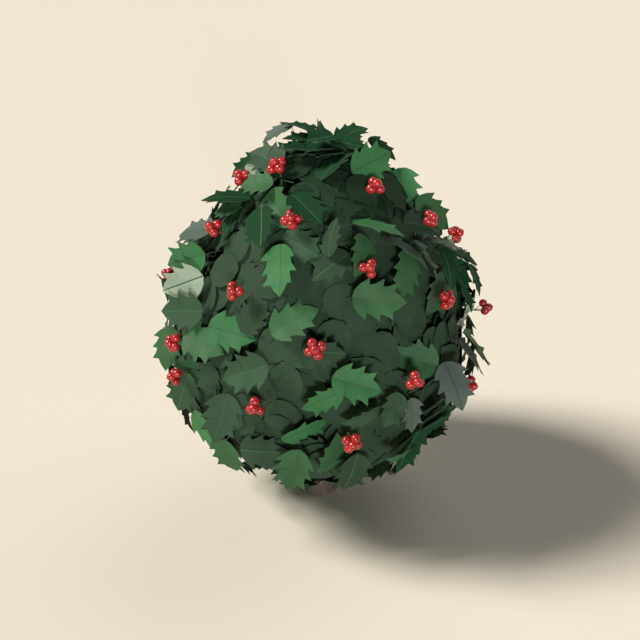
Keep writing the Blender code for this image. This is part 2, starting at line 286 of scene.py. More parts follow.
def bent(start, knee, end, steps):
    """Points along a smooth bend."""
    shares = [number / steps for number in range(steps + 1)]
    return [start * (1 - t) ** 2 + knee * 2 * t * (1 - t) + end * t * t for t in shares]


def tapering(points, first, last, name=""):
    """A limb along the points that thins evenly from its first radius to its last."""
    steps = len(points) - 1
    radii = (first + (last - first) * number / steps for number in range(steps + 1))
    return Limb(points, tuple(radii), name)


class Mass(NamedTuple):
    """One mass of foliage: its heart, where its stem comes in and how thick the stem is."""

    name: str
    heart: Vector
    foot: Vector
    stem_radius: float


def grow_boughs(crown, wood):
    """The boughs from the trunk to their masses, and the masses they carry."""
    boughs, masses = [], []
    for tier in TIERS:
        for number in range(tier.count):
            way_out = outward(math.radians(tier.turn) + number * 2 * math.pi / tier.count)
            rise = math.radians(tier.rise)
            approach = way_out * math.cos(rise) + UP * math.sin(rise)
            heart = way_out * tier.spread * crown.radius
            heart += UP * (crown.bottom + tier.height * crown.depth)
            depth = (tier.spread - tier.hollow) * crown.radius / math.cos(rise)
            foot = heart - approach * (depth + STEM_STICKS_OUT)
            fork = crown.trunk_top * (tier.fork + tier.fork_step * (number * 2 % tier.count))
            start = trunk_axis(crown, fork)
            knee = foot - approach * (foot - start).length * BOUGH_KNEE
            place = f"{tier.name}_{number + 1}"
            points, thick = bent(start, knee, foot, BOUGH_STEPS), tier.bough_radius
            bough = tapering(points, thick, thick * BOUGH_TIP_SHARE, f"bough_{place}")
            radii = tuple(
                radius + thick * COLLAR_SHARE * math.exp(-step / COLLAR_STEPS)
                for step, radius in enumerate(bough.radii)
            )
            boughs.append(bough._replace(radii=radii))
            masses.append(Mass(f"foliage_{place}", heart, foot, radii[-1]))
    tip = trunk_axis(crown, crown.trunk_top)
    heart = Vector((tip.x, tip.y, crown.bottom + TOP_MASS_HEIGHT * crown.depth))
    masses.append(Mass("foliage_top", heart, tip, wood.tip_radius))
    return boughs, masses


def grow_twigs(crown, masses):
    """Each mass's twigs from its stem to tips spread over the egg, as in the solids."""
    twigs = []
    for mass in masses:
        rng, tips = random.Random(mass.name), []
        for _ in range(TWIG_TRIES):
            azimuth, sine = rng.uniform(-math.pi, math.pi), rng.uniform(-1, 1)
            tip = crown.point(azimuth, math.asin(sine), -TWIG_TIP_DEPTH)
            apart = all((tip - other).length > TWIG_TIPS_APART for other in tips)
            if apart and nearest(masses, tip) is mass:
                tips.append(tip)
        for tip in tips:
            root = mass.foot.lerp(mass.heart, rng.uniform(0.75, 1))
            knee = root.lerp(tip, 0.5) + UP * (tip - root).length * rng.uniform(0.0, 0.12)
            twigs.append(tapering(bent(root, knee, tip, 9), *TWIG_RADII))
    return twigs


def grow_side_twigs(crown, twigs, rng):
    """Finer twigs that fork from the twigs and fill the room between their tips."""
    tips, finer = [twig.points[-1] for twig in twigs], []
    for _ in range(2 * TWIG_TRIES):
        swell = rng.uniform(-DEEPEST_TIP, -TWIG_TIP_DEPTH)
        tip = crown.point(rng.uniform(-math.pi, math.pi), math.asin(rng.uniform(-1, 1)), swell)
        if any((tip - other).length < SIDE_TWIG_TIPS_APART for other in tips):
            continue
        parent = min(twigs, key=lambda twig: (twig.points[5] - tip).length)
        root = parent.points[rng.choice((4, 5, 6))]
        knee = root.lerp(tip, 0.55) + crown.way_out(tip) * rng.uniform(0.0, 0.02)
        finer.append(tapering(bent(root, knee, tip, 6), *SIDE_TWIG_RADII))
        tips.append(tip)
    return finer


def nearest(masses, point):
    return min(masses, key=lambda mass: (mass.heart - point).length)


# Where a pixel of the picture falls on the crown


class View:
    """The camera's place and axes, and the rays through the picture."""

    def __init__(self, sizes):
        rise = sizes.elevation
        self.target = UP * sizes.look_height
        self.forward = Vector((0, math.cos(rise), -math.sin(rise)))
        self.up = Vector((0, math.sin(rise), math.cos(rise)))
        self.place = self.target - self.forward * sizes.distance
        self.pixels = IMAGE_SIDE * sizes.lens / sizes.sensor

    def ray(self, x, y):
        middle = IMAGE_SIDE / 2
        side = Vector((1, 0, 0)) * (x - middle) / self.pixels
        return (self.forward + side + self.up * (middle - y) / self.pixels).normalized()

    def spot(self, crown, x, y, swell):
        """Where the ray meets the egg, or where it passes nearest to it."""
        ray, count = self.ray(x, y), 500
        far = (self.target - self.place).length
        # The crown lies between three quarters and five quarters of the way to the target
        points = [self.place + ray * (far * (0.75 + 0.5 * n / count)) for n in range(count)]
        met = next((point for point in points if crown.reaches(point, swell)), None)
        return met or min(points, key=lambda p: (p - crown.point(*crown.angles(p))).length)

    def within(self, start, x, y, spot, reach):
        """The point on a pixel's ray that is nearest to a spot, within reach of the start."""
        ray = self.ray(x, y)
        abeam = (start - self.place).dot(ray)
        aside = (self.place + ray * abeam - start).length
        room = math.sqrt(max(0.0, reach * reach - aside * aside))
        return self.place + ray * min(max((spot - self.place).dot(ray), abeam - room), abeam + room)

    def covered(self, surface, point):
        """Whether a surface hides a point from the camera."""
        way = point - self.place
        return surface.ray_cast(self.place, way.normalized(), way.length)[0] is not None


def egg_surface(crown, swell):
    """The egg's surface, swollen by so much, for rays to meet."""
    bm = bmesh.new()
    bmesh.ops.create_uvsphere(bm, u_segments=60, v_segments=30, radius=1)
    for vert in bm.verts:
        latitude = math.asin(max(-1, min(1, vert.co.z)))
        vert.co = crown.point(math.atan2(vert.co.y, vert.co.x), latitude, swell)
    surface = BVHTree.FromBMesh(bm)
    bm.free()
    return surface


# Leaf and berry shapes


# One side of a leaf from its stalk to its tip: along the edge, half width, where the vein to it
# leaves the midrib, and lift, all in leaf lengths. Spines stand out where the width peaks.
HOLLY_EDGE = (
    (0.00, 0.020, 0.00, 0.000),
    (0.035, 0.150, 0.04, 0.010),
    (0.13, 0.265, 0.10, 0.018),
    (0.29, 0.385, 0.18, 0.040),
    (0.295, 0.260, 0.27, 0.005),
    (0.40, 0.290, 0.35, 0.004),
    (0.555, 0.395, 0.43, -0.020),
    (0.545, 0.255, 0.52, 0.008),
    (0.64, 0.265, 0.60, 0.012),
    (0.785, 0.330, 0.67, 0.040),
    (0.765, 0.185, 0.76, 0.004),
    (0.86, 0.130, 0.86, 0.000),
    (1.00, 0.000, 1.00, -0.020),
)
PLAIN_EDGE = tuple(HOLLY_EDGE[n] for n in (0, 2, 3, 4, 6, 7, 9, 10, 12))
# Older leaves lose their spines
SMOOTH_EDGE = (
    (0.00, 0.020, 0.00, 0.000),
    (0.05, 0.190, 0.06, 0.006),
    (0.20, 0.345, 0.20, 0.010),
    (0.40, 0.405, 0.40, 0.000),
    (0.60, 0.370, 0.60, 0.000),
    (0.80, 0.245, 0.78, 0.006),
    (0.84, 0.175, 0.86, 0.000),
    (1.00, 0.000, 1.00, -0.010),
)
# The midrib's half width and its depth, and the blades' thickness, in leaf lengths
RIB_HALF, RIB_DEPTH = 0.013, 0.008
LEAF_THICK, INNER_LEAF_THICK = 0.011, 0.012
SAME_CORNER = 1e-4
TOP_SLOT, UNDER_SLOT, RIB_SLOT = range(3)
LEAF_SHARP, WOOD_SHARP = math.radians(38), math.radians(60)


class Shape(NamedTuple):
    """A small mesh to be repeated: its corners, its faces and the slot of each face."""

    corners: np.ndarray
    faces: list
    slots: list


def shape_of(bm):
    """The shape that the bmesh has, which is freed.

    Its corners and faces are sorted, because solidify gives them another order in each run.
    """
    verts = sorted(bm.verts, key=lambda vert: tuple(vert.co))
    for index, vert in enumerate(verts):
        vert.index = index
    faces = sorted(
        (tuple(vert.index for vert in face.verts), face.material_index) for face in bm.faces
    )
    corners = np.array([tuple(vert.co) for vert in verts])
    bm.free()
    return Shape(corners, [loop for loop, _ in faces], [slot for _, slot in faces])


def leaf_shape(edge, arch, fold, wave, thick, rib):
    """A leaf of length 1 along +X: a grid drawn out to the spiny edge, then given its thickness."""
    across = 3 if rib else 2
    bm = bmesh.new()
    bmesh.ops.create_grid(bm, x_segments=len(edge) - 1, y_segments=across, size=1)
    for vert in bm.verts:
        station = round((vert.co.x + 1) / 2 * (len(edge) - 1))
        side = vert.co.y * across / 2
        x, half, vein, lift = edge[station]
        on_edge = abs(vert.co.y) > 0.9
        if on_edge:
            place = (x, math.copysign(half, side))
            height = lift * wave + fold * half
        else:
            place = (vein, math.copysign(min(RIB_HALF, half / 2), side) if rib else 0)
            height = -RIB_DEPTH if rib else 0
        height += arch * (1 - (2 * place[0] - 1) ** 2)
        vert.co = (*place, height)
    bmesh.ops.remove_doubles(bm, verts=bm.verts, dist=SAME_CORNER)
    for face in bm.faces:
        middle = all(abs(vert.co.y) < RIB_HALF * 1.1 for vert in face.verts)
        face.material_index = RIB_SLOT if rib and middle else TOP_SLOT
    bmesh.ops.recalc_face_normals(bm, faces=bm.faces)
    if sum(face.normal.z for face in bm.faces) < 0:
        bmesh.ops.reverse_faces(bm, faces=bm.faces)
    top = list(bm.faces)
    bmesh.ops.solidify(bm, geom=top, thickness=thick)
    for face in bm.faces:
        if face not in top:
            face.material_index = UNDER_SLOT
    bmesh.ops.recalc_face_normals(bm, faces=bm.faces)
    return shape_of(bm)


def berry_shape(radius):
    """A berry with its stalk end down and the dark dot of the old flower on top."""
    bm = bmesh.new()
    bmesh.ops.create_icosphere(bm, subdivisions=2, radius=radius)
    for face in bm.faces:
        face.material_index = 0
    dot = bmesh.ops.create_cone(
        bm,
        cap_ends=True,
        segments=6,
        radius1=radius * 0.20,
        radius2=radius * 0.10,
        depth=radius * 0.10,
        matrix=Matrix.Translation((0, 0, radius * 0.99)),
    )
    for face in {face for vert in dot["verts"] for face in vert.link_faces}:
        face.material_index = 1
    return shape_of(bm)


def repeated(name, shapes, placings, materials):
    """One mesh that holds a copy of a shape at each placing, which is (matrix, shape number)."""
    corners, faces, slots, start = [], [], [], 0
    for matrix, kind in placings:
        shape = shapes[kind]
        turn = np.array(matrix)
        corners.append(shape.corners @ turn[:3, :3].T + turn[:3, 3])
        faces.extend([tuple(index + start for index in face) for face in shape.faces])
        slots.extend(shape.slots)
        start += len(shape.corners)
    mesh = bpy.data.meshes.new(name)
    mesh.from_pydata(np.concatenate(corners).tolist(), [], faces)
    mesh.polygons.foreach_set("material_index", slots)
    for material in materials:
        mesh.materials.append(material)
    mesh.shade_smooth()
    mesh.set_sharp_from_angle(angle=LEAF_SHARP)
    mesh.update()
    return mesh


def leaf_matrix(leaf):
    """Where a leaf of length 1 along +X, facing up, goes."""
    along = leaf.along.normalized()
    across = leaf.facing.cross(along).normalized()
    up = along.cross(across).normalized()
    turn = Matrix((along, across, up)).transposed().to_4x4()
    return Matrix.Translation(leaf.base) @ turn @ Matrix.Scale(leaf.length, 4)


def placed(name, data):
    """A new object in the scene."""
    thing = bpy.data.objects.new(name, data)
    bpy.context.scene.collection.objects.link(thing)
    return thing


def turned(way, axis):
    """The turn that points an axis this way."""
    return way.to_track_quat(axis, "Y").to_matrix().to_4x4()


def add_piece(name, mesh, slot, *nodes):
    """Shows a mesh as a piece of the tree, in place of the named solids."""
    piece = placed(name, mesh)
    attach(piece, BODY)
    if nodes:
        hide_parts(*nodes)


# Wood


@contextlib.contextmanager
def edited(mesh):
    """A bmesh of the mesh, written back to it at the end."""
    bm = bmesh.new()
    bm.from_mesh(mesh)
    yield bm
    bm.to_mesh(mesh)
    bm.free()


def wood_mesh(name, limbs, roundness, material):
    """Closed tubes along the limbs' middle lines, as one mesh."""
    curve = bpy.data.curves.new(name, "CURVE")
    curve.dimensions = "3D"
    curve.bevel_depth = 1.0
    curve.bevel_resolution = roundness
    curve.use_fill_caps = True
    for limb in limbs:
        spline = curve.splines.new("POLY")
        spline.points.add(len(limb.points) - 1)
        for knot, point, radius in zip(spline.points, limb.points, limb.radii):
            knot.co = (*point, 1)
            knot.radius = radius
    guide = placed(name + "_guide", curve)
    bpy.context.view_layer.update()
    graph = bpy.context.evaluated_depsgraph_get()
    mesh = bpy.data.meshes.new_from_object(guide.evaluated_get(graph))
    bpy.data.objects.remove(guide)
    with edited(mesh) as bm:
        bmesh.ops.remove_doubles(bm, verts=bm.verts, dist=SAME_POINT)
        bmesh.ops.recalc_face_normals(bm, faces=bm.faces)
    mesh.materials.clear()
    mesh.materials.append(material)
    mesh.shade_smooth()
    mesh.set_sharp_from_angle(angle=WOOD_SHARP)
    return mesh


def furrow(mesh, depth, lobe_depth=0.0):
    """Raises the bark's relief: long shallow furrows, low warts and the lobes of the root flare."""
    across, upright, wart_scale = 60, 14, 95
    flare_height, lobe_count, cut_height = 0.035, 5, 0.004
    with edited(mesh) as bm:
        bm.normal_update()
        moves = []
        for vert in bm.verts:
            place = vert.co
            stretched = Vector((place.x * across, place.y * across, place.z * upright))
            furrows = noise.fractal(stretched, 0.6, 2.1, 4)
            warts = max(0.0, noise.noise(place * wart_scale) - 0.30) * 1.2
            turn = lobe_count * math.atan2(place.y, place.x) + 0.7
            foot = math.exp(-max(0.0, place.z) / flare_height)
            lobes = lobe_depth * foot * (0.5 + 0.5 * math.cos(turn))
            push = depth * (furrows * 0.8 + warts) + lobes
            rise = 0 if place.z < cut_height else vert.normal.z
            moves.append((vert, Vector((vert.normal.x, vert.normal.y, rise)) * push))
        for vert, move in moves:
            vert.co += move
            vert.co.z = max(0.0, vert.co.z)


# Materials


class Wire:
    """A shader socket that takes part in sums."""

    def __init__(self, shader, socket):
        self.shader = shader
        self.socket = socket

    def _with(self, operation, *others, flip=False):
        terms = (*others, self) if flip else (self, *others)
        return self.shader.node("ShaderNodeMath", {"operation": operation}, dict(enumerate(terms)))

    def __add__(self, other):
        return self._with("ADD", other)

    __radd__ = __add__

    def __sub__(self, other):
        return self._with("SUBTRACT", other)

    def __rsub__(self, other):
        return self._with("SUBTRACT", other, flip=True)

    def __mul__(self, other):
        return self._with("MULTIPLY", other)

    __rmul__ = __mul__

    def clamped(self):
        return self.shader.node("ShaderNodeClamp", {}, {"Value": self})


class Shader:
    """A material's node tree, built one node at a time."""

    def __init__(self, name):
        self.material = bpy.data.materials.new(name)
        self.material.use_nodes = True
        self.tree = self.material.node_tree
        self.surface = self.tree.nodes["Principled BSDF"]

    def node(self, kind, settings, inputs, output=0):
        """Adds a node, makes its settings first, and then fills or links its sockets."""
        added = self.tree.nodes.new(kind)
        for key, value in settings.items():
            if key == "stops":
                self.colour_stops(added.color_ramp, value)
            else:
                setattr(added, key, value)
        for key, value in inputs.items():
            if isinstance(value, Wire):
                self.tree.links.new(value.socket, added.inputs[key])
            else:
                added.inputs[key].default_value = value
        return Wire(self, added.outputs[output])

    @staticmethod
    def colour_stops(ramp, stops):
        while len(ramp.elements) < len(stops):
            ramp.elements.new(0.5)
        for element, (position, tint) in zip(ramp.elements, stops):
            element.position = position
            element.color = (*tint, 1)

    def place(self):
        return self.node("ShaderNodeTexCoord", {}, {}, "Object")

    def noise(self, scale, detail=2.0, vector=None, roughness=0.5):
        inputs = {"Scale": scale, "Detail": detail, "Roughness": roughness}
        inputs["Vector"] = vector or self.place()
        return self.node("ShaderNodeTexNoise", {}, inputs, "Fac")

    def stretched(self, scale):
        return self.node("ShaderNodeMapping", {}, {"Vector": self.place(), "Scale": scale})

    def ramp(self, value, *stops):
        return self.node("ShaderNodeValToRGB", {"stops": stops}, {"Fac": value}, "Color")

    def mixed(self, amount, first, second):
        inputs = {0: amount, 6: in_full(first), 7: in_full(second)}
        return self.node("ShaderNodeMix", {"data_type": "RGBA"}, inputs, 2)

    def bump(self, height, distance, strength):
        inputs = {"Height": height, "Distance": distance, "Strength": strength}
        return self.node("ShaderNodeBump", {}, inputs, "Normal")

    def finish(self, **sockets):
        for name, value in sockets.items():
            socket = self.surface.inputs[name.replace("_", " ").title().replace("Ior", "IOR")]
            if isinstance(value, Wire):
                self.tree.links.new(value.socket, socket)
            else:
                socket.default_value = in_full(value)
        return self.material


def in_full(value):
    """A colour with its alpha, or anything else as it is."""
    return (*value, 1) if hasattr(value, "__len__") and len(value) == 3 else value


def scaled(tint, factor):
    return tuple(min(1.0, channel * factor) for channel in tint)


def blade_material(name, tint, gloss, shine):
    """A leathery leaf: its colour drifts from leaf to leaf, with fine grain and a soft gloss."""
    shader = Shader(name)
    drift = shader.noise(9.0, 1.0)
    grain = shader.noise(150.0, 3.0)
    blotch = shader.noise(42.0)
    base = shader.mixed(drift, scaled(tint, 0.72), scaled(tint, 1.30))
    base = shader.mixed((blotch - 0.45).clamped() * 0.6, base, scaled(tint, 0.62))
    return shader.finish(
        base_color=base,
        roughness=gloss + (grain - 0.5) * 0.14,
        normal=shader.bump(grain, 0.0006, 0.35),
        specular_ior_level=shine,
    )


def plain_leaf_material(name, tint, roughness):
    """A leaf's matt underside or its midrib, with a fine grain."""
    shader = Shader(name)
    grain = shader.noise(110.0, 3.0)
    base = shader.mixed(grain, scaled(tint, 0.8), scaled(tint, 1.2))
    return shader.finish(
        base_color=base, roughness=roughness + (grain - 0.5) * 0.1, specular_ior_level=0.2
    )


def bark_material(name, light, middle, dark):
    """Grey-brown bark: upright furrows, dusty ridges and rows of pale pores."""
    shader = Shader(name)
    furrows = shader.noise(1.0, 6.0, shader.stretched((95, 95, 20)), 0.62)
    cloud = shader.noise(14.0, 3.0)
    spots = {"Vector": shader.stretched((170, 170, 420)), "Scale": 1.0}
    pores = shader.node("ShaderNodeTexVoronoi", {}, spots)
    base = shader.ramp(furrows, (0.30, dark), (0.50, middle), (0.72, light))
    base = shader.mixed(cloud * 0.5, base, scaled(middle, 1.15))
    pore = (0.16 - pores).clamped() * 4
    base = shader.mixed(pore.clamped(), base, scaled(light, 1.5))
    height = furrows + pore * 0.3
    return shader.finish(
        base_color=base, roughness=0.95 - furrows * 0.25, normal=shader.bump(height, 0.0016, 0.8)
    )


def twig_material(name, green, brown):
    """Young bark, green with brown patches."""
    shader = Shader(name)
    patch = shader.noise(22.0, 3.0)
    base = shader.mixed(patch, green, brown)
    return shader.finish(base_color=base, roughness=0.78 - patch * 0.2)


def berry_material(name, red):
    """A ripe berry: a waxy skin, lighter where the sun has not reached."""
    shader = Shader(name)
    ripe = shader.noise(60.0)
    base = shader.mixed(ripe, scaled(red, 0.78), (min(1, red[0] * 1.2), red[1] * 2.2, red[2] * 1.6))
    skin = shader.noise(400.0)
    return shader.finish(
        base_color=base,
        roughness=0.24 + skin * 0.12,
        coat_weight=0.15,
        coat_roughness=0.15,
    )


def plain_material(name, tint, roughness):
    """A small part's finely speckled skin."""
    shader = Shader(name)
    speck = shader.noise(300.0)
    base = shader.mixed(speck, scaled(tint, 0.8), scaled(tint, 1.25))
    return shader.finish(base_color=base, roughness=roughness)


# The growth of the whole tree


class Growth(NamedTuple):
    """All that grows: the egg, the wood, the leaves and the middles of the berry clusters."""

    crown: Crown
    boughs: list
    masses: list
    twigs: list
    shoots: list
    leaves: list
    clusters: list


# Berry clusters as the picture shows them, in its pixels
CLUSTERS_IN_VIEW = (
    (276, 165), (241, 177), (213, 228), (291, 219), (375, 186), (430, 219), (451, 237),
    (366, 270), (447, 300), (485, 308), (169, 274), (234, 291), (315, 349), (176, 343),
    (175, 376), (415, 381), (470, 385), (255, 407), (352, 443),
)
# Leaves that stand out as the picture shows them: stalk and tip in its pixels, the share of the
# blade's width that shows, and the colour
# In the colour column pale is a painted sheen, and dark and shade are partly painted shade
LEAVES_IN_VIEW = (
    (258, 158, 231, 177, 0.6, "dark"),
    (268, 166, 245, 165, 0.8, "pale"),
    (282, 164, 250, 151, 0.9, "dull"),
    (250, 198, 201, 200, 0.35, "dark"),
    (248, 194, 223, 240, 0.4, "dark"),
    (240, 206, 214, 213, 0.6, "fresh"),
    (266, 184, 240, 186, 0.8, "fresh"),
    (261, 168, 256, 207, 0.8, "dark"),
    (212, 230, 179, 235, 0.6, "grey"),
    (209, 236, 185, 250, 0.8, "shade"),
    (205, 254, 167, 265, 1.0, "bright"),
    (203, 276, 162, 291, 1.0, "pale"),
    (161, 280, 178, 303, 0.2, "dark"),
    (203, 311, 161, 311, 1.0, "dull"),
    (192, 272, 245, 248, 0.12, "grey"),
    (172, 327, 165, 371, 0.8, "fresh"),
    (184, 334, 224, 354, 1.0, "fresh"),
    (208, 326, 256, 340, 1.0, "bright"),
    (176, 368, 220, 374, 0.8, "fresh"),
    (268, 365, 222, 380, 1.0, "dull"),
    (189, 374, 178, 411, 0.9, "dull"),
    (228, 394, 214, 443, 1.0, "dull"),
    (192, 412, 225, 448, 0.5, "bright"),
    (225, 440, 236, 471, 0.7, "fresh"),
    (240, 450, 288, 452, 0.9, "shade"),
    (300, 450, 287, 490, 1.0, "fresh"),
    (325, 472, 338, 433, 0.6, "fresh"),
    (278, 441, 330, 418, 0.4, "bright"),
    (342, 392, 302, 410, 0.7, "bright"),
    (332, 378, 382, 392, 1.0, "bright"),
    (302, 352, 347, 354, 0.9, "shade"),
    (270, 334, 319, 308, 0.9, "fresh"),
    (280, 244, 279, 297, 0.8, "bright"),
    (282, 236, 322, 258, 1.0, "dull"),
    (350, 254, 312, 281, 0.9, "shade"),
    (328, 257, 337, 217, 0.6, "shade"),
    (268, 193, 288, 228, 0.9, "fresh"),
    (292, 194, 322, 224, 0.8, "dark"),
    (261, 207, 260, 248, 0.8, "dark"),
    (271, 175, 330, 193, 0.25, "bright"),
    (352, 172, 391, 152, 1.0, "bright"),
    (320, 180, 352, 152, 0.4, "dark"),
    (336, 141, 368, 128, 0.6, "dark"),
    (349, 136, 380, 164, 0.12, "bright"),
    (378, 146, 396, 160, 0.5, "dark"),
    (398, 168, 409, 214, 1.0, "bright"),
    (416, 200, 449, 229, 0.8, "fresh"),
    (404, 222, 443, 234, 0.6, "shade"),
    (347, 220, 405, 236, 0.25, "bright"),
    (383, 238, 428, 268, 0.2, "dull"),
    (414, 240, 438, 280, 0.12, "grey"),
    (364, 235, 355, 277, 0.7, "fresh"),
    (409, 252, 396, 299, 0.7, "fresh"),
    (349, 297, 407, 303, 1.0, "fresh"),
    (448, 272, 426, 315, 0.7, "dull"),
    (424, 240, 467, 253, 0.2, "pale"),
    (447, 248, 478, 265, 0.35, "dark"),
    (470, 266, 480, 296, 0.3, "dark"),
    (474, 290, 453, 330, 0.15, "pale"),
    (462, 290, 472, 312, 0.3, "dark"),
    (464, 332, 490, 365, 0.15, "fresh"),
    (459, 342, 482, 373, 0.2, "grey"),
    (438, 366, 389, 350, 1.0, "fresh"),
    (440, 350, 463, 411, 0.9, "grey"),
    (422, 424, 458, 404, 0.35, "dark"),
    (426, 410, 451, 393, 0.15, "dark"),
    (426, 428, 452, 414, 0.3, "dark"),
    (420, 430, 397, 473, 0.5, "dark"),
    (412, 446, 386, 460, 0.15, "fresh"),
    (411, 404, 412, 433, 0.7, "grey"),
    (398, 398, 384, 428, 0.9, "dull"),
    (380, 408, 341, 424, 0.4, "dull"),
    (358, 454, 343, 490, 0.8, "shade"),
    (290, 127, 262, 143, 0.4, "grey"),
    (313, 132, 281, 124, 0.2, "dark"),
    (334, 148, 281, 148, 0.25, "dark"),
    (322, 147, 321, 120, 0.5, "fresh"),
    (345, 152, 292, 152, 0.3, "dark"),
    (312, 143, 270, 152, 0.35, "dark"),
    (318, 137, 282, 138, 0.35, "dark"),
    (455, 255, 462, 305, 0.7, "dark"),
    (448, 258, 456, 318, 0.5, "dark"),
    (440, 245, 452, 290, 0.5, "dark"),
    (340, 141, 366, 147, 0.6, "dark"),
    (330, 136, 306, 141, 0.6, "dark"),
)
# How far the listed leaves' stalks and tips and the berries stand out of the egg, and how much
# further in or out a leaf is tried where it would cut another
STALK_OUT, TIP_OUT, CLUSTER_OUT, FAR_CLUSTER_OUT = 0.016, 0.034, 0.045, 0.042
LIFTS = (0, 0.008, 0.016, -0.008, -0.016, -0.024, 0.024, 0.032)
SHORTEST, LONGEST = 0.100, 0.140
# Lifted further than this, a listed leaf may lie over berries
HIGH_LIFT = 0.02
# How far past the leaf layer a leaf may reach, and how clear of a cluster's middle it stays
LISTED_BEYOND, BEYOND = 0.035, 0.012
BERRY_ROOM = 0.020
# How often each colour of the leaves that aren't listed is dealt out, of 100; pale is a painted
# sheen
COLOURS = {"bright": 22, "fresh": 30, "dull": 22, "grey": 12, "pale": 4, "dark": 10}
DEPTHS = ("shade", "deep")
# Above this latitude the closed layer takes the deep colour, as painted shade under the top leaves
PAINTED_SHADE_ABOVE = math.radians(52)
# How far round to the near side the leaves and clusters that aren't listed grow, from -1 at the
# nearest to 1 at the farthest, and how far out the egg is that hides those leaves
RIM, FAR_SIDE, OUTLINE_SWELL = -0.26, 0.25, 0.035
CLUSTER_TRIES = 2000
# How many leaves grow at each twig's tip, in the closed layer and inside, and the tries of each
OUTER_LEAVES, LAYER_LEAVES, INNER_LEAVES = 4, 6, 6
OUTER_TRIES, LAYER_TRIES, INNER_TRIES = 12, 7, 3
# How far from its twig's tip a leaf's blade starts
PETIOLE = 0.014
# The closed layer: how far out of the egg it lies and its colour, on top and round the sides,
# how far each leaf lies under the last, and how far a leaf may rise. On top the darker deep
# colour is painted shade, where the leaves above shadow the layer
TOP_LAYER, SIDE_LAYER = (0.016, "deep"), (-0.010, "shade")
LAYER_STEP, LAYER_RISE = 0.005, 0.016
# How deep under the egg's surface the leaves inside stay
INSIDE_DEPTH = 0.030
# No leaf hangs below this cone round the stem: its height on the axis, and its slope
CONE_HEIGHT, CONE_SLOPE = 0.055, 0.445
OUTER_KINDS, MIDDLE_KINDS, INNER_KINDS = (0, 1, 2, 3, 4), (5, 6, 7, 8), (9, 10)
# Only leaves and clusters this near to a leaf's foot, or leaves to its middle, can touch it
NEAR, LEAF_REACH = 0.2, 0.15


def leaf_shapes():
    """Five outer leaves that bend in their own ways, and plainer ones for the shade."""
    outer = [
        leaf_shape(HOLLY_EDGE, arch, fold, wave, LEAF_THICK, True)
        for arch, fold, wave in (
            (0.030, 0.10, 1.0),
            (0.055, 0.02, 0.7),
            (0.010, 0.22, 1.3),
            (0.070, 0.12, 0.5),
            (-0.020, 0.16, 1.1),
        )
    ]
    middle = [
        leaf_shape(edge, arch, fold, 1.0, LEAF_THICK, False)
        for edge, arch, fold in (
            (SMOOTH_EDGE, 0.03, 0.03),
            (SMOOTH_EDGE, 0.05, 0.05),
            (SMOOTH_EDGE, 0.01, 0.02),
            (PLAIN_EDGE, 0.03, 0.04),
        )
    ]
    inner = [
        leaf_shape(SMOOTH_EDGE, arch, fold, 1.0, INNER_LEAF_THICK, False)
        for arch, fold in ((0.05, 0.1), (0.09, 0.2))
    ]
    return [*outer, *middle, *inner]


def berry_clusters(crown, view, far_count, rng):
    """The clusters' middles: those in view, and others spread evenly round the far side."""
    spots = [view.spot(crown, x, y, CLUSTER_OUT) for x, y in CLUSTERS_IN_VIEW]
    # Far apart first, then closer where no room is left for them
    for apart in (0.24, 0.18):
        for _ in range(CLUSTER_TRIES):
            if len(spots) == len(CLUSTERS_IN_VIEW) + far_count:
                return spots
            azimuth, sine = rng.uniform(0, math.pi), rng.uniform(-0.85, 0.80)
            spot = crown.point(azimuth, math.asin(sine), FAR_CLUSTER_OUT)
            hidden = crown.way_out(spot).dot(view.forward) > FAR_SIDE
            if hidden and all((spot - other).length > apart for other in spots):
                spots.append(spot)
    return spots


def leaf_from(crown, base, turn, rise, tilt, size, kind, tint):
    """A leaf from its stalk's end: turned about the way out, lifted, and tilted on its midrib."""
    out = crown.way_out(base)
    level = Matrix.Rotation(turn, 3, out) @ out.orthogonal().normalized()
    along = level * math.cos(rise) + out * math.sin(rise)
    facing = Matrix.Rotation(tilt, 3, along) @ out
    return Leaf(base, along, facing, size, kind, tint)


